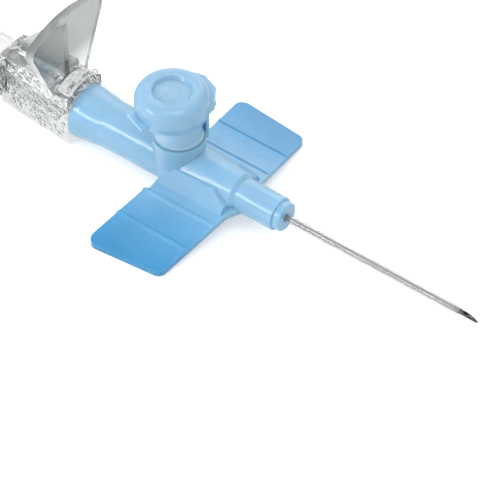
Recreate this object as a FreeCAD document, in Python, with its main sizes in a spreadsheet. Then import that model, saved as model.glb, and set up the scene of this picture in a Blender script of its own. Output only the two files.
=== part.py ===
import FreeCAD, Part
import os
import re
import Sketcher
from FreeCAD import Placement, Rotation, Vector

# A winged intravenous cannula with an injection port, as it lies before use: the soft catheter on its
# steel needle, the blue winged hub, the clear needle grip with its thumb plate, and the white end cap.
# Lengths are in millimetres. +X points at the needle's tip, +Z is up, and the origin is at the middle of
# the base. Inside a sub-part, x = 0 is the hub's nose face and z = 0 is the catheter's axis.

SIZES = [
    ("axis_height", 3.6, "catheter axis above the table"),
    ("hub_length", 30.7, "hub from nose face to rear face"),
    ("nose_length", 6.4, "nose in front of the wings"),
    ("nose_radius", 2.15, "nose, outside"),
    ("nose_end_length", 0.9, "stepped end of the nose"),
    ("nose_end_radius", 1.85, "stepped end, outside"),
    ("nose_round", 0.18, "rounding at the end of the nose"),
    ("spine_radius", 2.6, "hub at the front of the wings, outside"),
    ("tube_radius", 3.08, "hub tube behind the port, outside"),
    ("flange_radius", 3.5, "rear flange of the hub, outside"),
    ("flange_width", 1.1, "rear flange along the axis"),
    ("flare_length", 3.2, "flare from the tube to the flange"),
    ("luer_radius", 2.13, "mouth of each female cone"),
    ("luer_slope", 0.03, "cone radius lost for each millimetre of depth"),
    ("luer_depth", 7.6, "female cone in the hub's rear"),
    ("lumen_radius", 1.45, "bore of the hub around the valve"),
    ("stop_radius", 1.2, "bore of the hub in front of the valve"),
    ("web_half_width", 4.0, "fairing from tube to wing, half its width at the wing"),
    ("web_top_half_width", 2.8, "fairing, half its width at the top"),
    ("web_top", 1.55, "fairing, height of its top above the axis"),
    ("web_slope", 2.2, "sloped front end of the web, along the axis"),
    ("web_foot", 0.3, "foot of that slope above the wings' crown"),
    ("web_inset", 0.5, "fairing ends this far inside the wing's edges"),
    ("wing_back", 16.7, "rear edge of the wing's root, behind the nose face"),
    ("wing_back_step", 0.5, "blade's rear edge behind the root's"),
    ("wing_step_place", 5.6, "where the root meets the blade, from the axis"),
    ("wing_front_sweep", 1.45, "front edge, root to tip"),
    ("wing_back_sweep", 1.3, "rear edge, root to tip"),
    ("wing_front_span", 14.3, "front tip corner from the axis"),
    ("wing_back_span", 15.3, "rear tip corner from the axis"),
    ("wing_root", 3.4, "where the front edge starts, from the axis"),
    ("wing_thickness", 0.8, "wing blade"),
    ("wing_crown", 0.1, "top of the wings below the axis, at the middle"),
    ("wing_corner", 1.1, "rounding of the wing's tip corners"),
    ("ridge_inner", 5.6, "first grip ridge from the axis"),
    ("ridge_outer", 10.0, "second grip ridge from the axis"),
    ("ridge_width", 0.8, "grip ridge at its foot"),
    ("ridge_top_width", 0.3, "grip ridge at its top"),
    ("ridge_height", 0.16, "grip ridge above the wing"),
    ("port_back", 16.1, "port axis behind the nose face"),
    ("tower_step", 0.35, "foot of the port beyond its neck"),
    ("tower_rise", 0.12, "shoulder that the cap's ring sits on, above the tube"),
    ("tower_foot", 0.9, "foot of the tower below the axis"),
    ("neck_radius", 2.85, "neck of the port, outside"),
    ("neck_top", 9.2, "rim of the port above the axis"),
    ("bead_step", 0.15, "bead that keeps the ring on the neck, beyond the neck"),
    ("bead_height", 0.6, "bead along the neck"),
    ("port_floor", 2.5, "bottom of the port's cone above the axis"),
    ("port_hole_radius", 0.9, "hole from the port down to the bore"),
    ("valve_length", 9.0, "silicone valve sleeve"),
    ("valve_wall", 0.55, "silicone valve sleeve, wall"),
    ("catheter_reach", 25.0, "catheter in front of the nose"),
    ("catheter_radius", 0.55, "catheter, outside"),
    ("catheter_bore", 0.345, "catheter, inside"),
    ("catheter_taper", 2.0, "tapered tip of the catheter"),
    ("catheter_tip_radius", 0.39, "catheter's outside at its very tip"),
    ("seat_front", 2.8, "where the catheter starts to widen, behind the nose face"),
    ("seat_cone", 1.0, "widening of the catheter, along the axis"),
    ("seat_length", 3.6, "widened end of the catheter"),
    ("seat_bore", 0.59, "widened end, inside"),
    ("ferrule_wall", 0.12, "steel ferrule, wall"),
    ("funnel_length", 1.9, "funnel at the back of the ferrule"),
    ("fit_gap", 0.02, "clearance of parts that are fixed in each other"),
    ("slide_gap", 0.04, "clearance of parts that pull or turn"),
    ("needle_radius", 0.32, "needle, outside"),
    ("needle_bore", 0.2, "needle, inside"),
    ("needle_bevel", 2.5, "ground bevel, and what shows in front of the catheter"),
    ("needle_into_chamber", 1.0, "needle's rear end inside the flash chamber"),
    ("cone_length", 7.0, "male cone inside the hub"),
    ("glue_radius", 0.75, "glue well at the front of the male cone"),
    ("glue_depth", 1.3, "glue well, depth"),
    ("collar_radius", 4.7, "clear collar, outside"),
    ("collar_width", 1.6, "collar's full-width band"),
    ("waist_radius", 4.2, "collar where it meets the grip block"),
    ("waist_back", 5.2, "end of the collar's taper behind the hub's rear face"),
    ("chamber_front", 3.2, "front wall of the flash chamber behind the hub's rear face"),
    ("chamber_radius", 1.6, "flash chamber, inside"),
    ("grip_length", 11.6, "grip block's rear face behind the hub's rear face"),
    ("grip_front", 4.0, "grip block's front face behind the hub's rear face"),
    ("front_gap", 0.1, "grip's front face behind the hub's rear face"),
    ("grip_front_half", 3.3, "grip's flat sides at its front face, half the width"),
    ("grip_half_width", 2.25, "grip's flat sides at the block's rear face, half the width"),
    ("grip_top", 4.4, "grip block's top above the axis"),
    ("boss_radius", 2.75, "rear socket of the grip, outside"),
    ("boss_length", 5.6, "rear socket of the grip"),
    ("socket_depth", 5.2, "female cone in the grip's rear"),
    ("filter_length", 1.4, "vent filter"),
    ("fin_front", 2.25, "thumb plate's front face behind the hub's rear face"),
    ("fin_thickness", 1.1, "thumb plate"),
    ("fin_foot_half", 1.95, "thumb plate, half its width at the axis"),
    ("fin_half_width", 6.85, "thumb plate, half its width at the top corners"),
    ("fin_corner", 12.3, "top corners above the axis"),
    ("fin_top", 14.15, "top of the thumb plate above the axis"),
    ("fin_round", 1.2, "rounding of the top corners"),
    ("rib_thickness", 0.9, "rib behind the thumb plate"),
    ("rib_top", 12.5, "top of the rib above the axis"),
    ("ring_height", 1.0, "tether ring of the cap"),
    ("ring_wall", 0.4, "tether ring, wall"),
    ("cap_turn", 69.0, "where the strap points, degrees from +X towards +Y"),
    ("riser_gap", 0.2, "strap's upright, clear of the neck"),
    ("riser_wall", 0.4, "strap's upright, thickness"),
    ("arm_drop", 1.7, "underside of the strap's arm below the port's rim"),
    ("hinge_reach", 1.6, "film hinge outside the neck"),
    ("hinge_drop", 0.8, "film hinge below the port's rim"),
    ("hinge_slit", 0.05, "half the slit at the film hinge"),
    ("tab_rise", 1.6, "top of the tab on the cap above the port's rim"),
    ("lip_reach", 0.75, "lift lip outside the cap"),
    ("lip_width", 3.2, "lift lip"),
    ("lip_rise", 0.3, "top of the lift lip above the port's rim"),
    ("lip_thickness", 0.7, "lift lip"),
    ("strap_thickness", 0.5, "strap"),
    ("strap_width", 2.6, "strap"),
    ("cap_drop", 0.6, "lower rim of the cap's skirt below the port's rim"),
    ("cap_rim_wide", 4.3, "cap at its lower rim, outside"),
    ("cap_flare", 0.25, "cap's wall leans out by this much"),
    ("cap_shift", 0.85, "cap's outside sits off the port's axis, away from the strap"),
    ("dish_lean", 0.3, "sloped side of the round hollow"),
    ("tab_drop", 0.15, "underside of the tab below the port's rim"),
    ("tab_root_half", 4.0, "tab at the cap, half its width"),
    ("tab_shoulder", 3.3, "where the tab starts to round off, from the port axis"),
    ("tab_shoulder_half", 2.8, "tab at its shoulder, half its width"),
    ("cap_wide_rise", 0.4, "where the cap is widest, above the port's rim"),
    ("cap_rise", 2.9, "top of the cap above the port's rim"),
    ("cap_round", 1.3, "rounding of the cap's top edge"),
    ("cap_gap", 0.25, "skirt's clearance around the neck"),
    ("lid_gap", 0.15, "lid above the port's rim"),
    ("dish_radius", 2.5, "round hollow in the cap's top"),
    ("dish_depth", 0.45, "round hollow, depth"),
    ("plug_play", 0.2, "plug's clearance in the port"),
    ("plug_depth", 1.1, "plug below the port's rim"),
    ("plug_wall", 0.78, "wall of the hollow plug"),
    ("end_gap", 0.3, "end cap behind the grip block"),
    ("end_length", 8.1, "white end cap"),
    ("end_flange_step", 0.15, "end cap's front flange beyond its sleeve"),
    ("end_flange_width", 1.2, "end cap's front flange along the axis"),
    ("end_side", 0.55, "end cap's sleeve, wall"),
    ("end_bore_gap", 0.15, "sleeve's clearance around the grip's socket"),
    ("end_wall", 2.2, "closed end of the end cap"),
    ("end_chamfer", 0.4, "chamfer of the closed end"),
    ("end_cone_length", 4.2, "end cap's own cone"),
    ("end_rib_height", 0.15, "end cap's grip ribs"),
    ("end_rib_width", 0.5, "end cap's grip ribs"),
    ("end_rib_count", 18, "how many grip ribs"),
]
NAMES = {name for name, number, words in SIZES}

doc = FreeCAD.newDocument("iv_cannula")
sheet = doc.addObject("Spreadsheet::Sheet", "sizes")
for row, (name, number, words) in enumerate(SIZES, 1):
    sheet.set(f"A{row}", words)
    sheet.set(f"B{row}", str(number))
    sheet.setAlias(f"B{row}", name)
doc.recompute()

# Places that several sub-parts share, as formulas of the sizes.
REAR = "(hub_length + grip_length + end_gap + end_length)"
TIP = "(catheter_reach + needle_bevel)"
NOSE_X = f"({REAR} - {TIP}) / 2"
TOWER_RADIUS = "(neck_radius + tower_step)"
BEAD_RADIUS = "(neck_radius + bead_step)"
SHOULDER = "(tube_radius + tower_rise)"
RING_RADIUS = "(neck_radius + slide_gap + ring_wall)"
RISER_IN = "(neck_radius + riser_gap)"
RISER_OUT = "(neck_radius + riser_gap + riser_wall)"
ARM_LOW = "(neck_top - arm_drop)"
HINGE_RADIUS = "(neck_radius + hinge_reach)"
HINGE_HEIGHT = "(neck_top - hinge_drop)"
LIP_RADIUS = "(cap_rim_wide + cap_flare + cap_shift + lip_reach)"
LIP_TOP = "(neck_top + lip_rise)"
CAP_RADIUS = "(cap_rim_wide + cap_flare)"
CAP_RIM = "(neck_top - cap_drop)"
CAP_WIDE = "(neck_top + cap_wide_rise)"
CAP_TOP = "(neck_top + cap_rise)"
PLUG_RADIUS = "(luer_radius - luer_slope * plug_depth - plug_play)"
PLUG_BORE = "(luer_radius - luer_slope * plug_depth - plug_play - plug_wall)"
END_RADIUS = "(boss_radius + end_bore_gap + end_side)"
RING_LOW = f"({SHOULDER} + slide_gap)"
RING_TOP = f"({RING_LOW} + ring_height)"
CONE_FRONT = "(hub_length - cone_length)"
BOSS_BACK = "(hub_length + grip_length + boss_length)"


def size(name):
    """A size from the sheet, as a number."""
    return float(sheet.get(name))


def linked(formula):
    """The formula with each size's name pointed at the sheet."""
    return re.sub(r"[a-z_]+", lambda word: "sizes." + word[0] if word[0] in NAMES else word[0], formula)


def bind(item, **formulas):
    """Ties properties of an object to formulas; a double underscore stands for a dot."""
    for name, formula in formulas.items():
        item.setExpression(name.replace("__", "."), linked(formula))


def place(item, x=NOSE_X, z="axis_height"):
    """Puts a sub-part on the catheter's axis, with its x = 0 at the formula x."""
    bind(item, Placement__Base__x=x, Placement__Base__z=z)
    return item


def new_body(name, x=NOSE_X):
    """An empty body with the sub-part's name."""
    body = doc.addObject("PartDesign::Body", name)
    body.Label = name
    return place(body, x)


def origin_item(body, role):
    """One of the body's own planes or axes."""
    return next(item for item in body.Origin.OriginFeatures if item.Role == role)


def new_sketch(body, name, plane, x="0", z="0"):
    """An empty sketch on one of the body's planes, shifted along the body's x and z."""
    sketch = body.newObject("Sketcher::SketchObject", name)
    sketch.AttachmentSupport = [(origin_item(body, plane), "")]
    sketch.MapMode = "FlatFace"
    if plane == "YZ_Plane":
        bind(sketch, AttachmentOffset__Base__z=x, AttachmentOffset__Base__y=z)
    elif plane == "XZ_Plane":
        bind(sketch, AttachmentOffset__Base__x=x, AttachmentOffset__Base__y=z)
    else:
        bind(sketch, AttachmentOffset__Base__x=x, AttachmentOffset__Base__z=z)
    return sketch


def fix_point(sketch, edge, end, across, up, spot=Vector(1, 1, 0)):
    """Ties one end of an edge to two formulas, measured from the sketch's origin."""
    for kind, formula, now in (("DistanceX", across, spot.x), ("DistanceY", up, spot.y)):
        number = sketch.addConstraint(Sketcher.Constraint(kind, -1, 1, edge, end, now))
        sketch.setExpression(f"Constraints[{number}]", linked(formula))


def outline(body, name, plane, corners, x="0", z="0"):
    """A closed outline of straight edges through corners that are pairs of formulas."""
    sketch = new_sketch(body, name, plane, x, z)
    count = len(corners)
    start = [Vector(1, 0, 0)]
    for index in range(1, count):
        start.append(Rotation(Vector(0, 0, 1), 360 * index / count).multVec(start[0]))
    for index in range(count):
        sketch.addGeometry(Part.LineSegment(start[index], start[(index + 1) % count]))
    for index in range(count):
        sketch.addConstraint(Sketcher.Constraint("Coincident", index, 2, (index + 1) % count, 1))
    for index, (across, up) in enumerate(corners):
        fix_point(sketch, index, 1, across, up)
    return sketch


def turned(body, kind, sketch, axis):
    """A full turn of a sketch: PartDesign::Revolution adds it, PartDesign::Groove cuts it."""
    feature = body.newObject(kind, sketch.Name + "_turn")
    feature.Profile = sketch
    feature.ReferenceAxis = axis
    feature.Angle = 360
    sketch.Visibility = False
    return feature


def about_x(body, kind, name, corners):
    """A turned shape about the catheter's axis; the corners are places along it and radii."""
    sketch = outline(body, name, "XZ_Plane", corners)
    return turned(body, kind, sketch, (origin_item(body, "X_Axis"), [""]))


def about_port(body, kind, name, corners, x="0"):
    """A turned shape about the port's axis; the corners are radii and heights."""
    sketch = outline(body, name, "XZ_Plane", corners, x)
    return turned(body, kind, sketch, (sketch, ["V_Axis"]))


def padded(body, sketch, length, both_ways=False, reverse=False):
    """A sketch raised by a length."""
    pad = body.newObject("PartDesign::Pad", sketch.Name + "_pad")
    pad.Profile = sketch
    bind(pad, Length=length)
    pad.Midplane = both_ways
    pad.Reversed = reverse
    sketch.Visibility = False
    return pad


def cut_through(body, sketch):
    """A sketch cut through everything, both ways."""
    pocket = body.newObject("PartDesign::Pocket", sketch.Name + "_cut")
    pocket.Profile = sketch
    pocket.Type = "ThroughAll"
    pocket.Midplane = True
    sketch.Visibility = False
    return pocket


def rounded(body, radius, chosen):
    """Rounds the edges of the body's last feature that the test chooses."""
    doc.recompute()
    base = body.Tip
    edges = [f"Edge{number}" for number, edge in enumerate(base.Shape.Edges, 1) if chosen(edge)]
    if not edges:
        raise RuntimeError(f"no edge to round on {body.Label}")
    fillet = body.newObject("PartDesign::Fillet", f"{body.Name}_round")
    fillet.Base = (base, edges)
    bind(fillet, Radius=radius)
    return fillet


def circle_at(edge, axis, place_along, radius):
    """True for a round edge of this radius about an axis, at this place along it."""
    curve = edge.Curve
    if not isinstance(curve, Part.Circle):
        return False
    return abs(curve.Radius - radius) < 0.001 and abs(curve.Center.dot(axis) - place_along) < 0.001


def wing_top(place_out):
    """Height of the wing's upper face at a distance from the axis."""
    fall = f"(axis_height - wing_thickness - wing_crown) * ({place_out}) / wing_back_span"
    return f"-(wing_crown + {fall})"


# Catheter hub: one blue moulding with nose, wings, port tower and rear flange.
hub = new_body("catheter_hub")
front_tip = "-(nose_length + wing_front_sweep)"
back_blade = "-(wing_back + wing_back_step)"
back_tip = "-(wing_back + wing_back_step + wing_back_sweep)"
half_plan = [
    ("-(nose_length - 1)", "+(nose_radius - 0.4)"),
    ("-nose_length", "+wing_root"),
    (front_tip, "+wing_front_span"),
    (back_tip, "+wing_back_span"),
    (back_blade, "+wing_step_place"),
    ("-wing_back", "+(wing_step_place - wing_back_step)"),
]
plan = half_plan + [(across, "-" + up[1:]) for across, up in reversed(half_plan)]
wings = padded(hub, outline(hub, "wing_plan", "XY_Plane", plan, z="-axis_height - 1"), "axis_height + 1")
tip_span = size("wing_front_span") - 0.01
rounded(hub, "wing_corner", lambda edge: all(abs(v.Y) > tip_span for v in edge.Vertexes)
        and abs(edge.Vertexes[0].Z - edge.Vertexes[1].Z) > 1)

# The wings slope down to the table, with two low grip ridges along each.
top_line = []
for ridge in ("ridge_outer", "ridge_inner"):
    for half, lift in (("ridge_width", "0"), ("ridge_top_width", "ridge_height"),
                       ("-ridge_top_width", "ridge_height"), ("-ridge_width", "0")):
        out = f"{ridge} + ({half}) / 2"
        top_line.append((f"+({out})", f"{wing_top(out)} + {lift}"))
beyond = "wing_back_span + 1"
top_half = [(f"+({beyond})", "2"), (f"+({beyond})", wing_top(beyond))] + top_line
peak = [("0", wing_top("0"))]
top_mirror = [("-" + across[1:], up) for across, up in reversed(top_half)]
cut_through(hub, outline(hub, "above_wings", "YZ_Plane", top_half + peak + top_mirror))
below = [
    (f"-({beyond})", f"{wing_top(beyond)} - wing_thickness"),
    ("0", "-(wing_crown + wing_thickness)"),
    (beyond, f"{wing_top(beyond)} - wing_thickness"),
    (beyond, "-axis_height - 3"),
    (f"-({beyond})", "-axis_height - 3"),
]
cut_through(hub, outline(hub, "below_wings", "YZ_Plane", below))

web = [
    ("web_half_width", f"{wing_top('web_half_width')} - wing_thickness / 2"),
    ("web_half_width", wing_top("web_half_width")),
    ("web_top_half_width", "web_top"),
    ("-web_top_half_width", "web_top"),
    ("-web_half_width", wing_top("web_half_width")),
    ("-web_half_width", f"{wing_top('web_half_width')} - wing_thickness / 2"),
]
padded(hub, outline(hub, "web", "YZ_Plane", web, x="-(wing_back - web_inset)"),
       "wing_back - nose_length - 2 * web_inset")
web_front = "(nose_length + web_inset)"
cut_through(hub, outline(hub, "web_slope", "XZ_Plane", [
    (f"-{web_front} + 1", "-wing_crown + web_foot"),
    (f"-{web_front}", "-wing_crown + web_foot"),
    (f"-{web_front} - web_slope", "web_top + 0.1"),
    (f"-{web_front} + 1", "web_top + 0.1"),
]))
about_x(hub, "PartDesign::Revolution", "hub_outside", [
    ("0", "0"),
    ("0", "nose_end_radius"),
    ("-nose_end_length", "nose_end_radius"),
    ("-nose_end_length", "nose_radius"),
    ("-nose_length", "nose_radius"),
    ("-nose_length - web_inset", "spine_radius"),
    ("-port_back", "tube_radius"),
    ("-(hub_length - flange_width - flare_length)", "tube_radius"),
    ("-(hub_length - flange_width)", "flange_radius"),
    ("-hub_length", "flange_radius"),
    ("-hub_length", "0"),
])

# Port tower with the shoulder, neck and bead that carry the cap's ring.
about_port(hub, "PartDesign::Revolution", "tower", [
    ("0", "-tower_foot"),
    (TOWER_RADIUS, "-tower_foot"),
    (TOWER_RADIUS, SHOULDER),
    ("neck_radius", SHOULDER),
    ("neck_radius", f"{RING_TOP} + slide_gap"),
    (BEAD_RADIUS, f"{RING_TOP} + slide_gap + bead_height / 3"),
    (BEAD_RADIUS, f"{RING_TOP} + slide_gap + bead_height / 2"),
    ("neck_radius", f"{RING_TOP} + slide_gap + bead_height"),
    ("neck_radius", "neck_top"),
    ("0", "neck_top"),
], x="-port_back")
about_port(hub, "PartDesign::Groove", "port_bore", [
    ("0", "0"),
    ("port_hole_radius", "0"),
    ("port_hole_radius", "port_floor"),
    ("luer_radius - luer_slope * (neck_top - port_floor)", "port_floor"),
    ("luer_radius", "neck_top"),
    ("luer_radius", "neck_top + 1"),
    ("0", "neck_top + 1"),
], x="-port_back")
seat_back = "(seat_front + seat_cone + seat_length)"
seat_radius = "(seat_bore + catheter_radius - catheter_bore)"
valve_front = "(port_back - valve_length / 2)"
about_x(hub, "PartDesign::Groove", "bore", [
    ("1", "0"),
    ("1", "catheter_radius + fit_gap"),
    ("-seat_front", "catheter_radius + fit_gap"),
    ("-(seat_front + seat_cone)", f"{seat_radius} + fit_gap"),
    (f"-{seat_back}", f"{seat_radius} + fit_gap"),
    (f"-({seat_back} + funnel_length)", "stop_radius"),
    (f"-{valve_front}", "stop_radius"),
    (f"-{valve_front}", "lumen_radius"),
    ("-(hub_length - luer_depth)", "lumen_radius"),
    ("-(hub_length - luer_depth)", "luer_radius - luer_slope * luer_depth"),
    ("-hub_length", "luer_radius"),
    ("-hub_length - 1", "luer_radius"),
    ("-hub_length - 1", "0"),
])
rounded(hub, "nose_round", lambda edge: circle_at(edge, Vector(1, 0, 0), 0, size("nose_end_radius"))
        or circle_at(edge, Vector(1, 0, 0), -size("nose_end_length"), size("nose_radius")))

# Catheter: a soft tube, drawn down to the needle at its tip and widened over the ferrule in the nose.
catheter = new_body("catheter_tube")
about_x(catheter, "PartDesign::Revolution", "tube_wall", [
    (f"-{seat_back} + fit_gap", "seat_bore"),
    ("-(seat_front + seat_cone)", "seat_bore"),
    ("-seat_front", "catheter_bore"),
    ("catheter_reach", "catheter_bore"),
    ("catheter_reach", "catheter_tip_radius"),
    ("catheter_reach - catheter_taper", "catheter_radius"),
    ("-seat_front", "catheter_radius"),
    ("-(seat_front + seat_cone)", seat_radius),
    (f"-{seat_back} + fit_gap", seat_radius),
])

# Ferrule: a drawn steel sleeve with a funnel that wedges the catheter in the nose.
ferrule = new_body("catheter_ferrule")
sleeve = "(seat_bore - fit_gap)"
mouth = "(stop_radius - 4 * fit_gap)"
about_x(ferrule, "PartDesign::Revolution", "ferrule_wall_section", [
    ("-(seat_front + seat_cone)", f"{sleeve} - ferrule_wall"),
    ("-(seat_front + seat_cone)", sleeve),
    (f"-{seat_back}", sleeve),
    (f"-({seat_back} + funnel_length)", mouth),
    (f"-({seat_back} + funnel_length)", f"{mouth} - ferrule_wall"),
    (f"-{seat_back}", f"{sleeve} - ferrule_wall"),
])

# Valve: a silicone sleeve that covers the hole under the port.
valve = new_body("port_valve")
about_x(valve, "PartDesign::Revolution", "valve_wall_section", [
    (f"-{valve_front} - fit_gap", "lumen_radius - fit_gap - valve_wall"),
    (f"-{valve_front} - fit_gap", "lumen_radius - fit_gap"),
    (f"-({valve_front} + valve_length)", "lumen_radius - fit_gap"),
    (f"-({valve_front} + valve_length)", "lumen_radius - fit_gap - valve_wall"),
])


# Tether ring: it turns on the port's neck and carries the strap's upright and arm.
def about_neck(name):
    """An empty body on the port's axis, turned so that its x axis points along the strap."""
    body = new_body(name, f"{NOSE_X} - port_back")
    body.Placement = Placement(body.Placement.Base, Rotation(Vector(0, 0, 1), size("cap_turn")))
    bind(body, Placement__Rotation__Angle="cap_turn")
    return body


ring = about_neck("cap_ring")
about_port(ring, "PartDesign::Revolution", "ring_section", [
    ("neck_radius + slide_gap", RING_LOW),
    (RING_RADIUS, RING_LOW),
    (RING_RADIUS, RING_TOP),
    ("neck_radius + slide_gap", RING_TOP),
])
padded(ring, outline(ring, "strap", "XZ_Plane", [
    (RISER_IN, RING_LOW),
    (RISER_OUT, RING_LOW),
    (RISER_OUT, f"{ARM_LOW} - strap_thickness / 2"),
    (f"{HINGE_RADIUS} - strap_thickness", ARM_LOW),
    (HINGE_RADIUS, f"{ARM_LOW} + strap_thickness"),
    (HINGE_RADIUS, f"{HINGE_HEIGHT} - hinge_slit"),
    (f"{HINGE_RADIUS} - strap_thickness", f"{HINGE_HEIGHT} - hinge_slit"),
    (f"{HINGE_RADIUS} - strap_thickness", f"{ARM_LOW} + 1.4 * strap_thickness"),
    (RISER_OUT, f"{ARM_LOW} + strap_thickness"),
    (RISER_IN, ARM_LOW),
]), "strap_width", both_ways=True)

# Port cap: a cup with a plug that closes the port, a tab to the film hinge and a lip to lift it by.
cap = about_neck("port_cap")
lid_low = "(neck_top + lid_gap)"
about_port(cap, "PartDesign::Revolution", "cap_outside", [
    ("0", CAP_RIM),
    ("cap_rim_wide", CAP_RIM),
    (CAP_RADIUS, CAP_WIDE),
    (CAP_RADIUS, CAP_TOP),
    ("dish_radius", CAP_TOP),
    ("dish_radius - dish_lean", f"{CAP_TOP} - dish_depth"),
    ("0", f"{CAP_TOP} - dish_depth"),
], x="-cap_shift")
top_height = size("neck_top") + size("cap_rise")
top_radius = size("cap_rim_wide") + size("cap_flare")
rounded(cap, "cap_round", lambda edge: circle_at(edge, Vector(0, 0, 1), top_height, top_radius))
tab = [
    ("0", "-tab_root_half"),
    ("tab_shoulder", "-tab_shoulder_half"),
    (HINGE_RADIUS, "-strap_width / 2"),
    (HINGE_RADIUS, "strap_width / 2"),
    ("tab_shoulder", "tab_shoulder_half"),
    ("0", "tab_root_half"),
]
padded(cap, outline(cap, "tab", "XY_Plane", tab, z="neck_top - tab_drop"), "tab_rise + tab_drop")
padded(cap, outline(cap, "strap_end", "XZ_Plane", [
    (f"{HINGE_RADIUS} - strap_thickness", f"{HINGE_HEIGHT} + hinge_slit"),
    (HINGE_RADIUS, f"{HINGE_HEIGHT} + hinge_slit"),
    (HINGE_RADIUS, "neck_top"),
    (f"{HINGE_RADIUS} - strap_thickness", "neck_top"),
]), "strap_width", both_ways=True)
padded(cap, outline(cap, "lip", "XZ_Plane", [
    (f"-({CAP_RADIUS} - strap_thickness)", LIP_TOP),
    (f"-{LIP_RADIUS}", LIP_TOP),
    (f"-{LIP_RADIUS}", f"{LIP_TOP} - lip_thickness / 2"),
    (f"-({CAP_RADIUS} - strap_thickness)", f"{LIP_TOP} - lip_thickness"),
]), "lip_width", both_ways=True)
about_port(cap, "PartDesign::Groove", "skirt_bore", [
    ("0", f"{CAP_RIM} - 1"),
    ("neck_radius + cap_gap", f"{CAP_RIM} - 1"),
    ("neck_radius + cap_gap", lid_low),
    ("0", lid_low),
])
about_port(cap, "PartDesign::Revolution", "plug", [
    (PLUG_BORE, "neck_top - plug_depth"),
    (PLUG_RADIUS, "neck_top - plug_depth"),
    (PLUG_RADIUS, f"{lid_low} + lid_gap"),
    (PLUG_BORE, f"{lid_low} + lid_gap"),
])

# Needle: a steel tube with a ground bevel that faces up, from the tip back into the flash chamber.
needle = new_body("needle")
needle_back = "(hub_length + chamber_front + needle_into_chamber)"
about_x(needle, "PartDesign::Revolution", "needle_wall", [
    (f"-{needle_back}", "needle_bore"),
    (TIP, "needle_bore"),
    (TIP, "needle_radius"),
    (f"-{needle_back}", "needle_radius"),
])
cut_through(needle, outline(needle, "bevel", "XZ_Plane", [
    (f"{TIP} - needle_bevel", "needle_radius"),
    (f"{TIP} - needle_bevel", "needle_radius + 1"),
    (f"{TIP} + 1", "needle_radius + 1"),
    (f"{TIP} + 1", "-needle_radius"),
    (TIP, "-needle_radius"),
]))

# Adhesive: the cured ring in the well at the front of the grip's cone that holds the needle.
glue = new_body("needle_adhesive")
about_x(glue, "PartDesign::Revolution", "glue_section", [
    (f"-{CONE_FRONT}", "needle_radius"),
    (f"-{CONE_FRONT}", "glue_radius"),
    (f"-({CONE_FRONT} + glue_depth)", "glue_radius"),
    (f"-({CONE_FRONT} + glue_depth)", "needle_radius"),
])

# Needle grip: one clear moulding with the cone, the collar, the grip block, the thumb plate and its rib,
# the flash chamber and the rear socket.
grip = new_body("needle_grip")
collar_front = "(hub_length + front_gap)"
waist = "(hub_length + waist_back)"
grip_back = "(hub_length + grip_length)"
fin_back = "(hub_length + fin_front + fin_thickness)"
about_x(grip, "PartDesign::Revolution", "collar", [
    (f"-{CONE_FRONT}", "0"),
    (f"-{CONE_FRONT}", "luer_radius - luer_slope * cone_length - fit_gap"),
    ("-hub_length", "luer_radius - fit_gap"),
    (f"-{collar_front}", "luer_radius - fit_gap"),
    (f"-{collar_front}", "collar_radius"),
    (f"-({collar_front} + collar_width)", "collar_radius"),
    (f"-{waist}", "waist_radius"),
    (f"-{waist}", "0"),
])
padded(grip, outline(grip, "block", "YZ_Plane", [
    ("-collar_radius", "-axis_height"),
    ("collar_radius", "-axis_height"),
    ("collar_radius", "grip_top"),
    ("-collar_radius", "grip_top"),
], x=f"-{grip_back}"), "grip_length - grip_front")

# The collar and the block share two flat sides, which draw together towards the rear.
for side, sign in (("left", ""), ("right", "-")):
    cut_through(grip, outline(grip, f"{side}_flat", "XY_Plane", [
        (f"-{collar_front} + 1", f"{sign}grip_front_half"),
        (f"-{collar_front}", f"{sign}grip_front_half"),
        (f"-{grip_back}", f"{sign}grip_half_width"),
        (f"-{grip_back} - 1", f"{sign}grip_half_width"),
        (f"-{grip_back} - 1", f"{sign}(collar_radius + 1)"),
        (f"-{collar_front} + 1", f"{sign}(collar_radius + 1)"),
    ]))
about_x(grip, "PartDesign::Revolution", "boss", [
    (f"-{grip_back} + 1", "0"),
    (f"-{grip_back} + 1", "boss_radius"),
    (f"-{BOSS_BACK}", "boss_radius"),
    (f"-{BOSS_BACK}", "0"),
])
padded(grip, outline(grip, "rib", "XZ_Plane", [
    (f"-{fin_back} + fin_thickness / 2", "grip_top - 0.5"),
    (f"-{fin_back} + fin_thickness / 2", "rib_top"),
    (f"-{fin_back}", "rib_top"),
    (f"-{grip_back} + 1.9", "grip_top + 1.7"),
    (f"-{grip_back} + 1.6", "grip_top - 0.5"),
]), "rib_thickness", both_ways=True)


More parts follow.
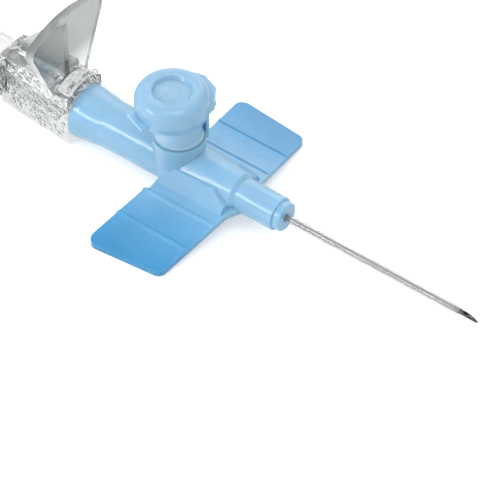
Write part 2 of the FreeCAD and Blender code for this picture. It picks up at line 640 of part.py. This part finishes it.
def thumb_plate(body):
    """The outline of the thumb plate: straight sides that spread upwards, and an arched top."""
    sketch = new_sketch(body, "thumb_plate", "YZ_Plane", x=f"-{fin_back}")
    foot, wide = size("fin_foot_half"), size("fin_half_width")
    corner, top = size("fin_corner"), size("fin_top")
    spots = [Vector(wide, corner, 0), Vector(-wide, corner, 0), Vector(-foot, 0, 0), Vector(foot, 0, 0)]
    sketch.addGeometry(Part.Arc(spots[0], Vector(0, top, 0), spots[1]))
    for index in range(1, 4):
        sketch.addGeometry(Part.LineSegment(spots[index], spots[(index + 1) % 4]))
    for edge, other in ((0, 1), (1, 2), (2, 3), (3, 0)):
        sketch.addConstraint(Sketcher.Constraint("Coincident", edge, 2, other, 1))
    fix_point(sketch, 0, 1, "fin_half_width", "fin_corner", spots[0])
    fix_point(sketch, 1, 1, "-fin_half_width", "fin_corner", spots[1])
    fix_point(sketch, 2, 1, "-fin_foot_half", "0", spots[2])
    fix_point(sketch, 3, 1, "fin_foot_half", "0", spots[3])
    rise = "(fin_top - fin_corner)"
    radius = (wide ** 2 + (top - corner) ** 2) / (2 * (top - corner))
    number = sketch.addConstraint(Sketcher.Constraint("Radius", 0, radius))
    formula = f"(fin_half_width ^ 2 + {rise} ^ 2) / (2 * {rise})"
    sketch.setExpression(f"Constraints[{number}]", linked(formula))
    return sketch


padded(grip, thumb_plate(grip), "fin_thickness")
rounded(grip, "fin_round", lambda edge: abs(edge.Length - size("fin_thickness")) < 0.001 and all(
    abs(abs(v.Y) - size("fin_half_width")) < 0.001 for v in edge.Vertexes))
half = "(collar_radius + 5)"
cut_through(grip, outline(grip, "underside", "YZ_Plane", [
    (f"-{half}", "-axis_height"),
    (half, "-axis_height"),
    (half, "-axis_height - 5"),
    (f"-{half}", "-axis_height - 5"),
]))
socket_floor = f"({BOSS_BACK} - socket_depth)"
chamber = "(hub_length + chamber_front)"
about_x(grip, "PartDesign::Groove", "grip_bore", [
    (f"-{CONE_FRONT} + 1", "0"),
    (f"-{CONE_FRONT} + 1", "glue_radius"),
    (f"-({CONE_FRONT} + glue_depth)", "glue_radius"),
    (f"-({CONE_FRONT} + glue_depth)", "needle_radius + fit_gap"),
    (f"-{chamber}", "needle_radius + fit_gap"),
    (f"-{chamber}", "chamber_radius"),
    (f"-{socket_floor}", "chamber_radius"),
    (f"-{socket_floor}", "luer_radius - luer_slope * socket_depth"),
    (f"-{BOSS_BACK}", "luer_radius"),
    (f"-{BOSS_BACK} - 1", "luer_radius"),
    (f"-{BOSS_BACK} - 1", "0"),
])

# Vent filter: a porous plug at the back of the flash chamber that lets air out and keeps blood in.
vent = place(doc.addObject("Part::Cylinder", "vent_filter"), f"{NOSE_X} - {socket_floor}")
vent.Label = "vent_filter"
vent.Placement = Placement(vent.Placement.Base, Rotation(Vector(0, 1, 0), 90))
bind(vent, Radius="chamber_radius - fit_gap", Height="filter_length")

# End cap: it closes the grip's rear socket, with its own cone inside, a front flange and grip ribs.
end_cap = new_body("luer_cap")
end_front = f"({grip_back} + end_gap)"
end_back = f"({end_front} + end_length)"
cap_floor = f"({end_back} - end_wall)"
about_x(end_cap, "PartDesign::Revolution", "end_cap_section", [
    (f"-{cap_floor} + end_cone_length", "0"),
    (f"-{cap_floor} + end_cone_length",
     f"luer_radius - slide_gap - luer_slope * ({BOSS_BACK} - {cap_floor} + end_cone_length)"),
    (f"-{cap_floor}", f"luer_radius - slide_gap - luer_slope * ({BOSS_BACK} - {cap_floor})"),
    (f"-{cap_floor}", "boss_radius + end_bore_gap"),
    (f"-{end_front}", "boss_radius + end_bore_gap"),
    (f"-{end_front}", f"{END_RADIUS} + end_flange_step"),
    (f"-({end_front} + end_flange_width)", f"{END_RADIUS} + end_flange_step"),
    (f"-({end_front} + end_flange_width)", END_RADIUS),
    (f"-{end_back} + end_chamfer", END_RADIUS),
    (f"-{end_back}", f"{END_RADIUS} - end_chamfer"),
    (f"-{end_back}", "0"),
])
rib_half = "end_rib_width / 2"
rib = padded(end_cap, outline(end_cap, "grip_rib", "YZ_Plane", [
    (f"-{rib_half}", f"{END_RADIUS} - 0.3"),
    (rib_half, f"{END_RADIUS} - 0.3"),
    (f"{rib_half} / 2", f"{END_RADIUS} + end_rib_height"),
    (f"-{rib_half} / 2", f"{END_RADIUS} + end_rib_height"),
], x=f"-{end_back} + end_chamfer"), "end_length - end_chamfer - end_flange_width / 2")
ribs = end_cap.newObject("PartDesign::PolarPattern", "grip_ribs")
ribs.Originals = [rib]
ribs.Axis = (origin_item(end_cap, "X_Axis"), [""])
ribs.Angle = 360
bind(ribs, Occurrences="end_rib_count")
end_cap.Tip = ribs

doc.recompute()
SUB_PARTS = [hub, catheter, ferrule, valve, ring, cap, needle, glue, grip, vent, end_cap]
for item in doc.Objects:
    if "Invalid" in item.State or "Error" in item.State:
        raise RuntimeError(f"{item.Name} did not recompute")
os.makedirs("parts", exist_ok=True)
for sub_part in SUB_PARTS:
    shape = sub_part.Shape
    if shape.isNull() or not shape.isValid() or len(shape.Solids) != 1:
        raise RuntimeError(f"{sub_part.Label} is not one sound solid")
    shape.exportStep(f"parts/{sub_part.Label}.step")
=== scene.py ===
import bpy
import numpy as np
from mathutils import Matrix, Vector


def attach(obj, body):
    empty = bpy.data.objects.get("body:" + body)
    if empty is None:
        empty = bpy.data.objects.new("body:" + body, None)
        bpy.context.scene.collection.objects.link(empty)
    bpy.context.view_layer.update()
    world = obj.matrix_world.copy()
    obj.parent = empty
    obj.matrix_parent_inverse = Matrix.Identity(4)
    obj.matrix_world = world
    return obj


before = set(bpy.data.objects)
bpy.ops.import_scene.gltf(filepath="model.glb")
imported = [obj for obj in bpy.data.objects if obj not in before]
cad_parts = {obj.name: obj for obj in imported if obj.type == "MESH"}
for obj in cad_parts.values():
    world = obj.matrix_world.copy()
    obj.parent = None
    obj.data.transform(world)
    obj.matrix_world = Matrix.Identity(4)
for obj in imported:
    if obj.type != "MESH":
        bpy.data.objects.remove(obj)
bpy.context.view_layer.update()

# Catheter hub. One injection moulding in sky-blue translucent polypropylene: nose, two wings with
# low ridges, port tower and rear luer flange. Its colour is painted paler over the thick hub and
# deeper out to the thin wing tips: painted light, for the light that the hollow hub scatters and
# reflects. The mould leaves it glossy, with highlights that waver a little.
HUB_PAINTED_LIGHT = (0.34, 0.62, 0.85)
HUB_MIDDLE = (0.145, 0.47, 0.78)
WING_DEEP = (0.05, 0.365, 0.69)
NECK_PAINTED_LIGHT = (0.48, 0.74, 0.99)
WING_ROOT_Y = 0.0032
WING_TIP_Y = 0.0145
NECK_START_Z = 0.0062
NECK_FULL_Z = 0.0085
HUB_GLOSS = (0.15, 0.26)
HUB_WAVER = 0.00016
COLOR_WAVER = 0.06
NOISE_SPAN = (0.3, 0.7)


def new_material(name, roughness, ior, clearness, milkiness, scatter):
    """A principled material with its plain constants, and its nodes, links and shader."""
    material = bpy.data.materials.new(name)
    material.use_nodes = True
    tree = material.node_tree
    shader = tree.nodes["Principled BSDF"]
    shader.inputs["Roughness"].default_value = roughness
    shader.inputs["IOR"].default_value = ior
    shader.inputs["Transmission Weight"].default_value = clearness
    shader.inputs["Subsurface Weight"].default_value = milkiness
    shader.inputs["Subsurface Radius"].default_value = scatter
    shader.inputs["Subsurface Scale"].default_value = 0.001
    return material, tree, shader


def math_node(tree, kind, first, second):
    """One Math node whose two inputs are sockets or numbers."""
    node = tree.nodes.new("ShaderNodeMath")
    node.operation = kind
    for socket, value in zip(node.inputs, (first, second)):
        if isinstance(value, (int, float)):
            socket.default_value = value
        else:
            tree.links.new(value, socket)
    return node.outputs[0]


def ramp_node(tree, value, low, high, colors):
    """Even steps of colour while value runs from low to high."""
    share = tree.nodes.new("ShaderNodeMapRange")
    share.inputs["From Min"].default_value = low
    share.inputs["From Max"].default_value = high
    tree.links.new(value, share.inputs["Value"])
    ramp = tree.nodes.new("ShaderNodeValToRGB")
    elements = ramp.color_ramp.elements
    while len(elements) < len(colors):
        elements.new(0.5)
    for index, color in enumerate(colors):
        elements[index].position = index / (len(colors) - 1)
    for element, color in zip(elements, colors):
        element.color = (*color, 1)
    tree.links.new(share.outputs["Result"], ramp.inputs["Fac"])
    return ramp.outputs["Color"]


def noise_node(tree, scale, detail=3.0, stretch=(1, 1, 1)):
    """Noise on Object coordinates, with its own stretch along X, Y and Z."""
    place = tree.nodes.new("ShaderNodeTexCoord")
    turn = tree.nodes.new("ShaderNodeMapping")
    turn.inputs["Scale"].default_value = stretch
    tree.links.new(place.outputs["Object"], turn.inputs["Vector"])
    noise = tree.nodes.new("ShaderNodeTexNoise")
    noise.inputs["Scale"].default_value = scale
    noise.inputs["Detail"].default_value = detail
    tree.links.new(turn.outputs["Vector"], noise.inputs["Vector"])
    return noise.outputs["Fac"]


def shaded(tree, color, value, amount):
    """A colour made lighter and darker by a noise value, by amount each way."""
    mix = tree.nodes.new("ShaderNodeMix")
    mix.data_type = "RGBA"
    mix.blend_type = "MULTIPLY"
    mix.inputs["Factor"].default_value = 1.0
    tree.links.new(color, mix.inputs["A"])
    low, high = (1 - amount,) * 3, (1 + amount,) * 3
    tree.links.new(ramp_node(tree, value, *NOISE_SPAN, [low, high]), mix.inputs["B"])
    return mix.outputs["Result"]


def blended(tree, share, first, second):
    """First colour where share is 0, second where it is 1. Each is a socket or a plain colour."""
    mix = tree.nodes.new("ShaderNodeMix")
    mix.data_type = "RGBA"
    tree.links.new(share, mix.inputs["Factor"])
    for name, color in (("A", first), ("B", second)):
        if isinstance(color, tuple):
            mix.inputs[name].default_value = (*color, 1)
        else:
            tree.links.new(color, mix.inputs[name])
    return mix.outputs["Result"]


def step_node(tree, value, low, high):
    """0 up to low, 1 from high on, and even between them."""
    share = tree.nodes.new("ShaderNodeMapRange")
    share.inputs["From Min"].default_value = low
    share.inputs["From Max"].default_value = high
    tree.links.new(value, share.inputs["Value"])
    return share.outputs["Result"]


def surface_relief(tree, shader, height, depth):
    """Bump that raises the surface by up to depth where the height value is 1."""
    bump = tree.nodes.new("ShaderNodeBump")
    bump.inputs["Distance"].default_value = depth
    bump.inputs["Strength"].default_value = 1.0
    tree.links.new(height, bump.inputs["Height"])
    tree.links.new(bump.outputs["Normal"], shader.inputs["Normal"])


def roughness_range(tree, shader, value, low, high):
    """Roughness between low and high as a noise value goes through its span."""
    share = tree.nodes.new("ShaderNodeMapRange")
    share.inputs["From Min"].default_value = NOISE_SPAN[0]
    share.inputs["From Max"].default_value = NOISE_SPAN[1]
    share.inputs["To Min"].default_value = low
    share.inputs["To Max"].default_value = high
    tree.links.new(value, share.inputs["Value"])
    tree.links.new(share.outputs["Result"], shader.inputs["Roughness"])


def object_axis(tree, axis):
    """One Object coordinate, as a value."""
    place = tree.nodes.new("ShaderNodeTexCoord")
    split = tree.nodes.new("ShaderNodeSeparateXYZ")
    tree.links.new(place.outputs["Object"], split.inputs["Vector"])
    return split.outputs[axis]


def finish_node(name, material):
    """Gives a CAD node its material."""
    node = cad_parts[name]
    node.data.materials.clear()
    node.data.materials.append(material)


hub_blue, tree, shader = new_material("hub_polypropylene", 0.2, 1.49, 0.28, 0.6, (0.4, 0.8, 1.2))
from_axis = math_node(tree, "ABSOLUTE", object_axis(tree, "Y"), 0.0)
# Painted light: paler over the hub, deeper out to the wing tips.
blue = ramp_node(tree, from_axis, WING_ROOT_Y, WING_TIP_Y, [HUB_PAINTED_LIGHT, HUB_MIDDLE, WING_DEEP])
# Painted light: the port's neck is painted paler, lifting it out of the shade under the cap.
neck_light_share = step_node(tree, object_axis(tree, "Z"), NECK_START_Z, NECK_FULL_Z)
blue = blended(tree, neck_light_share, blue, NECK_PAINTED_LIGHT)
blue = shaded(tree, blue, noise_node(tree, 160), COLOR_WAVER)
tree.links.new(blue, shader.inputs["Base Color"])
roughness_range(tree, shader, noise_node(tree, 900), *HUB_GLOSS)
surface_relief(tree, shader, noise_node(tree, 380, 2.0, (0.5, 1, 1)), HUB_WAVER)
finish_node("catheter_hub", hub_blue)

# Catheter. A soft fluoropolymer tube, extruded and drawn down at its tip. It is thin and milky
# enough for the needle inside to show as two darker lines.
MILK_COLORS = [(0.72, 0.73, 0.74), (0.80, 0.80, 0.80)]
catheter_white, tree, shader = new_material(
    "catheter_fluoropolymer", 0.03, 1.36, 0.85, 0.3, (0.5, 0.5, 0.5))
milk = ramp_node(tree, noise_node(tree, 700, 2.0, (0.1, 1, 1)), *NOISE_SPAN, MILK_COLORS)
tree.links.new(milk, shader.inputs["Base Color"])
finish_node("catheter_tube", catheter_white)

# Needle and ferrule. Drawn stainless steel: fine lines run along the wire. The bevel at the tip is
# ground and painted darker: a painted reflection of dark surroundings. The ferrule is a pressed sleeve
# of the same steel.
BEVEL_START_X = 0.0354
BEVEL_REFLECTION_FULL_X = 0.0366
WIRE_GREY = (0.37, 0.38, 0.39)
BEVEL_PAINTED_REFLECTION = (0.10, 0.105, 0.11)
DRAWN_GLOSS = (0.12, 0.24)
needle_steel, tree, shader = new_material("drawn_steel", 0.2, 2.5, 0.0, 0.0, (1, 1, 1))
shader.inputs["Metallic"].default_value = 1.0
# Painted reflection: the ground bevel is painted dark.
steel = ramp_node(tree, object_axis(tree, "X"), BEVEL_START_X, BEVEL_REFLECTION_FULL_X, [WIRE_GREY, BEVEL_PAINTED_REFLECTION])
drawn = noise_node(tree, 9000, 2.0, (0.02, 1, 1))
tree.links.new(shaded(tree, steel, drawn, 0.08), shader.inputs["Base Color"])
roughness_range(tree, shader, drawn, *DRAWN_GLOSS)
surface_relief(tree, shader, drawn, 0.000004)
finish_node("needle", needle_steel)
finish_node("catheter_ferrule", needle_steel)

# Port valve. A silicone sleeve inside the hub, translucent and dull, that opens under the pressure
# of an injection.
RUBBER_COLORS = [(0.70, 0.74, 0.76), (0.80, 0.83, 0.84)]
valve_silicone, tree, shader = new_material("silicone", 0.4, 1.41, 0.2, 0.7, (1.2, 1.2, 1.2))
rubber = ramp_node(tree, noise_node(tree, 500), *NOISE_SPAN, RUBBER_COLORS)
tree.links.new(rubber, shader.inputs["Base Color"])
surface_relief(tree, shader, noise_node(tree, 3000, 2.0), 0.00001)
finish_node("port_valve", valve_silicone)

# Port cap with its tether ring. A polyethylene moulding a little paler and waxier than the hub, cup,
# plug, tab, strap and ring in one shot. The ring snaps over the bead on the neck and turns there.
CAP_PALE = (0.32, 0.56, 0.77)
CAP_DEEP = (0.33, 0.59, 0.83)
RING_FOOT_Z = 0.0075
CAP_UPPER_Z = 0.0140
CAP_GLOSS = (0.14, 0.26)
CAP_WAVER = 0.00018
cap_blue, tree, shader = new_material("cap_polyethylene", 0.25, 1.5, 0.18, 0.6, (0.6, 1.0, 1.4))
blue = ramp_node(tree, object_axis(tree, "Z"), RING_FOOT_Z, CAP_UPPER_Z, [CAP_DEEP, CAP_PALE])
blue = shaded(tree, blue, noise_node(tree, 160), COLOR_WAVER)
tree.links.new(blue, shader.inputs["Base Color"])
roughness_range(tree, shader, noise_node(tree, 1100), *CAP_GLOSS)
surface_relief(tree, shader, noise_node(tree, 380, 2.0, (1, 1, 0.6)), CAP_WAVER)
finish_node("cap_ring", cap_blue)
finish_node("port_cap", cap_blue)

# Needle grip. One clear polycarbonate moulding: cone, collar, grip block, thumb plate, flash chamber
# and rear socket. The plate's broad faces are painted dark grey, a painted shade, and both flat sides
# carry a fine moulded grain.
GRIP_CLEAR = (0.84, 0.86, 0.855)
PLATE_PAINTED_SHADE = (0.34, 0.365, 0.36)
PLATE_FOOT_Z = 0.0078
PLATE_SHADE_FULL_Z = 0.0115
BROAD_FROM = 0.7
BROAD_FULL = 0.9
RIM_DULLNESS = 0.4
POLISH_WAVER = 0.12
grip_clear, tree, shader = new_material("clear_polycarbonate", 0.04, 1.5, 0.96, 0.0, (1, 1, 1))
facing = tree.nodes.new("ShaderNodeNewGeometry")
facing_parts = tree.nodes.new("ShaderNodeSeparateXYZ")
tree.links.new(facing.outputs["True Normal"], facing_parts.inputs["Vector"])
lengthwise = math_node(tree, "ABSOLUTE", facing_parts.outputs["X"], 0.0)
broad_face = step_node(tree, lengthwise, BROAD_FROM, BROAD_FULL)
high_up = step_node(tree, object_axis(tree, "Z"), PLATE_FOOT_Z, PLATE_SHADE_FULL_Z)
# Painted shade: the plate's broad faces high up are painted dark grey.
plate_shade_color = blended(tree, math_node(tree, "MULTIPLY", broad_face, high_up), GRIP_CLEAR, PLATE_PAINTED_SHADE)
tree.links.new(shaded(tree, plate_shade_color, noise_node(tree, 350), COLOR_WAVER), shader.inputs["Base Color"])
rim = math_node(tree, "MULTIPLY", math_node(tree, "SUBTRACT", 1.0, broad_face), high_up)
polish = math_node(tree, "MULTIPLY", noise_node(tree, 800), POLISH_WAVER)
dull_rim = math_node(tree, "MULTIPLY", rim, RIM_DULLNESS)
tree.links.new(math_node(tree, "ADD", polish, dull_rim), shader.inputs["Roughness"])
surface_relief(tree, shader, noise_node(tree, 1500, 2.0), 0.00002)
finish_node("needle_grip", grip_clear)

# Grain on the grip's flat sides: rows of shallow studs for the fingers, moulded with the block, that
# give the sides their glitter. Their colour is near white, since the light that passes a stud passes
# the tinted block as well.
SIDE_FRONT = (-0.0193, 0.0033)
SIDE_REAR = (-0.0307, 0.00225)
STUD_PITCH = 0.00066
STUD_STRAY = 0.00024
STUD_RADIUS = 0.00036
STUD_HEIGHT = 0.00015
STUD_SINK = 0.00005
STUD_LOW_Z = 0.0007
STUD_TOP_Z = 0.0072
STUD_ROW_SHARE = 0.87
STUD_END_SHARES = (0.7, 0.4)
STUD_KEPT = 0.82
STUD_SIZES = (0.45, 1.0)
STUD_HEIGHTS = (0.3, 1.1)
STUD_RINGS = (0.35, 0.7, 1.0)
STUD_CORNERS = 10


def stud_field(side, seed):
    """Rows of lens-shaped studs on one flat side. A lens is a disc of rings r and angles a, raised by
    height * (1 - r squared) outside and sunk by a flat floor inside, placed on the slanting side."""
    along = np.array([SIDE_REAR[0] - SIDE_FRONT[0], SIDE_REAR[1] - SIDE_FRONT[1]])
    length = np.hypot(*along)
    along = along / length
    outward = np.array([along[1], -along[0]])
    first_run = STUD_PITCH * STUD_END_SHARES[0]
    columns = np.arange(first_run, length - STUD_PITCH * STUD_END_SHARES[1], STUD_PITCH)
    rows = np.arange(STUD_LOW_Z, STUD_TOP_Z, STUD_PITCH * STUD_ROW_SHARE)
    run, up = np.meshgrid(columns, rows)
    run = run + (np.arange(len(rows)) % 2)[:, None] * STUD_PITCH / 2
    draw = np.random.default_rng(seed)
    run = (run + draw.uniform(-STUD_STRAY, STUD_STRAY, run.shape)).ravel()
    up = (up + draw.uniform(-STUD_STRAY, STUD_STRAY, up.shape)).ravel()
    kept = (run > STUD_RADIUS) & (run < length - STUD_RADIUS) & (draw.random(len(run)) < STUD_KEPT)
    run, up = run[kept], up[kept]
    size = STUD_RADIUS * draw.uniform(*STUD_SIZES, len(run))
    height = STUD_HEIGHT * draw.uniform(*STUD_HEIGHTS, len(run))
    ring = np.array(STUD_RINGS)
    angle = np.arange(STUD_CORNERS) * 2 * np.pi / STUD_CORNERS
    disc_run = np.concatenate([[0], (ring[:, None] * np.cos(angle)).ravel(), [0]])
    disc_up = np.concatenate([[0], (ring[:, None] * np.sin(angle)).ravel(), [0]])
    lift = np.concatenate([[1], np.repeat(1 - ring ** 2, len(angle)), [0]])
    sunk = np.concatenate([[0], np.repeat(ring == STUD_RINGS[-1], len(angle)), [1]])
    t = run[:, None] + size[:, None] * disc_run
    z = up[:, None] + size[:, None] * disc_up
    out = height[:, None] * lift - STUD_SINK * sunk
    x = SIDE_FRONT[0] + along[0] * t + outward[0] * out
    y = SIDE_FRONT[1] + along[1] * t + outward[1] * out
    points = np.stack([x, side * y, z], -1).reshape(-1, 3)
    corners = len(angle)
    inner = 1 + np.arange(corners)
    after = 1 + (np.arange(corners) + 1) % corners
    faces = [np.stack([np.zeros(corners, int), inner, after], 1)]
    for _ in ring[1:]:
        faces += [np.stack([inner, inner + corners, after], 1)]
        faces += [np.stack([after, inner + corners, after + corners], 1)]
        inner, after = inner + corners, after + corners
    floor_point = len(disc_run) - 1
    faces.append(np.stack([inner, np.full(corners, floor_point), after], 1))
    one_stud = np.concatenate(faces)
    if side < 0:  # wound the other way, so that the faces of both sides point outwards
        one_stud = one_stud[:, ::-1]
    first_points = np.arange(len(run)) * len(disc_run)
    return points, (one_stud[None] + first_points[:, None, None]).reshape(-1, 3)


GRAIN_GLOSS = (0.04, 0.10)
GRAIN_COLORS = [(0.95, 0.96, 0.955), (0.99, 1.0, 0.995)]
grain_clear, tree, shader = new_material("grain_polycarbonate", 0.06, 1.5, 0.96, 0.0, (1, 1, 1))
grain = ramp_node(tree, noise_node(tree, 350), *NOISE_SPAN, GRAIN_COLORS)
tree.links.new(grain, shader.inputs["Base Color"])
roughness_range(tree, shader, noise_node(tree, 800), *GRAIN_GLOSS)
for name, side, seed in (("grip_grain_near", -1, 11), ("grip_grain_far", 1, 12)):
    points, faces = stud_field(side, seed)
    mesh = bpy.data.meshes.new(name)
    mesh.from_pydata(points, [], faces.tolist())
    mesh.shade_smooth()
    mesh.materials.append(grain_clear)
    piece = bpy.data.objects.new(name, mesh)
    bpy.context.scene.collection.objects.link(piece)
    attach(piece, "needle_unit")

# Adhesive. A ring of cured clear glue in the well at the front of the grip's cone.
GLUE_COLORS = [(0.80, 0.82, 0.76), (0.90, 0.90, 0.86)]
glue_clear, tree, shader = new_material("cured_glue", 0.1, 1.5, 0.7, 0.2, (0.5, 0.5, 0.5))
cured = ramp_node(tree, noise_node(tree, 1500), *NOISE_SPAN, GLUE_COLORS)
tree.links.new(cured, shader.inputs["Base Color"])
surface_relief(tree, shader, noise_node(tree, 2500), 0.00002)
finish_node("needle_adhesive", glue_clear)

# Vent filter. A pressed plug of porous white polyethylene at the back of the flash chamber, dull and
# full of tiny pits, which are painted darker: painted shade in the pits.
PIT_SPAN = (0.35, 0.6)
PIT_SHADE_COLORS = [(0.45, 0.45, 0.43), (0.86, 0.86, 0.84)]
filter_white, tree, shader = new_material("porous_plug", 0.85, 1.4, 0.0, 0.2, (0.3, 0.3, 0.3))
pits = noise_node(tree, 7000, 4.0)
# Painted shade: the pits are painted dark grey.
tree.links.new(ramp_node(tree, pits, *PIT_SPAN, PIT_SHADE_COLORS), shader.inputs["Base Color"])
surface_relief(tree, shader, pits, 0.00008)
finish_node("vent_filter", filter_white)

# End cap. A white polyethylene moulding with fine ribs to turn it by and its own cone, pushed into
# the grip's rear socket. It is slightly see-through where its wall is thin.
END_CAP_GLOSS = (0.3, 0.42)
END_CAP_COLORS = [(0.79, 0.79, 0.80), (0.86, 0.86, 0.87)]
end_cap_white, tree, shader = new_material("white_polyethylene", 0.32, 1.5, 0.08, 0.5, (1.0, 1.0, 1.0))
white = ramp_node(tree, noise_node(tree, 400), *NOISE_SPAN, END_CAP_COLORS)
tree.links.new(white, shader.inputs["Base Color"])
roughness_range(tree, shader, noise_node(tree, 1200), *END_CAP_GLOSS)
surface_relief(tree, shader, noise_node(tree, 2200, 2.0), 0.000015)
finish_node("luer_cap", end_cap_white)

# Table. A plain white sheet: it takes the cannula's shadow, and shows white to the camera and in
# what the clear plastic and the steel mirror or let through.
TABLE_HALF = 3.0
TABLE_GLOW = 0.45
table_mesh = bpy.data.meshes.new("table")
corners = [(-TABLE_HALF, -TABLE_HALF, 0), (TABLE_HALF, -TABLE_HALF, 0),
           (TABLE_HALF, TABLE_HALF, 0), (-TABLE_HALF, TABLE_HALF, 0)]
table_mesh.from_pydata(corners, [], [(0, 1, 2, 3)])
table = bpy.data.objects.new("table", table_mesh)
bpy.context.scene.collection.objects.link(table)
table_white, tree, shader = new_material("table_white", 0.9, 1.4, 0.0, 0.0, (1, 1, 1))
shader.inputs["Specular IOR Level"].default_value = 0.0
shader.inputs["Base Color"].default_value = (0.8, 0.8, 0.8, 1)
shader.inputs["Emission Color"].default_value = (1, 1, 1, 1)


def seen_ray(tree):
    """1 for camera, mirror and see-through rays, and 0 for the rays that light the object."""
    path = tree.nodes.new("ShaderNodeLightPath")
    straight = math_node(tree, "MAXIMUM", path.outputs["Is Camera Ray"], path.outputs["Is Glossy Ray"])
    return math_node(tree, "MAXIMUM", straight, path.outputs["Is Transmission Ray"])


glow = math_node(tree, "MULTIPLY", seen_ray(tree), TABLE_GLOW)
tree.links.new(glow, shader.inputs["Emission Strength"])
table_mesh.materials.append(table_white)

# Camera, at the photograph's viewing angle: above the needle side, with a long lens.
CAMERA_PLACE = (0.17714, -0.22591, 0.28963)
CAMERA_AIM = (-0.4198, 0.5522, -0.7203)
CAMERA_SENSOR_MM = 36
CAMERA_LENS_MM = 247.46
camera_data = bpy.data.cameras.new("camera")
camera_data.sensor_width = CAMERA_SENSOR_MM
camera_data.lens = CAMERA_LENS_MM
camera_data.clip_start = 0.01
camera = bpy.data.objects.new("camera", camera_data)
camera.location = CAMERA_PLACE
camera.rotation_euler = Vector(CAMERA_AIM).to_track_quat("-Z", "Y").to_euler()
bpy.context.scene.collection.objects.link(camera)
bpy.context.scene.camera = camera

# Light. A white studio tent all round, a soft lamp overhead, a strip on the near side, which draws
# the bright lines along the hub and the cap, and a weak lamp behind. A lamp's row has its name,
# place, width, height and power.
LAMPS = [("overhead", (0.10, -0.05, 0.42), 0.22, 0.22, 0.38),
         ("near_side", (-0.17, -0.27, 0.17), 0.24, 0.07, 0.54),
         ("behind", (-0.17, 0.31, 0.20), 0.24, 0.24, 0.26)]
for name, place, width, height, power in LAMPS:
    lamp_data = bpy.data.lights.new(name, "AREA")
    lamp_data.energy = power
    lamp_data.shape = "RECTANGLE"
    lamp_data.size = width
    lamp_data.size_y = height
    lamp = bpy.data.objects.new(name, lamp_data)
    lamp.location = place
    lamp.rotation_euler = (-Vector(place)).to_track_quat("-Z", "Y").to_euler()
    bpy.context.scene.collection.objects.link(lamp)
TENT_LIGHT = 0.78
world = bpy.data.worlds.new("tent")
world.use_nodes = True
tree = world.node_tree
background = tree.nodes["Background"]
background.inputs["Color"].default_value = (1, 1, 1, 1)
shown = math_node(tree, "MULTIPLY", seen_ray(tree), 1 - TENT_LIGHT)
tree.links.new(math_node(tree, "ADD", shown, TENT_LIGHT), background.inputs["Strength"])
bpy.context.scene.world = world
bpy.context.scene.view_settings.view_transform = "Standard"
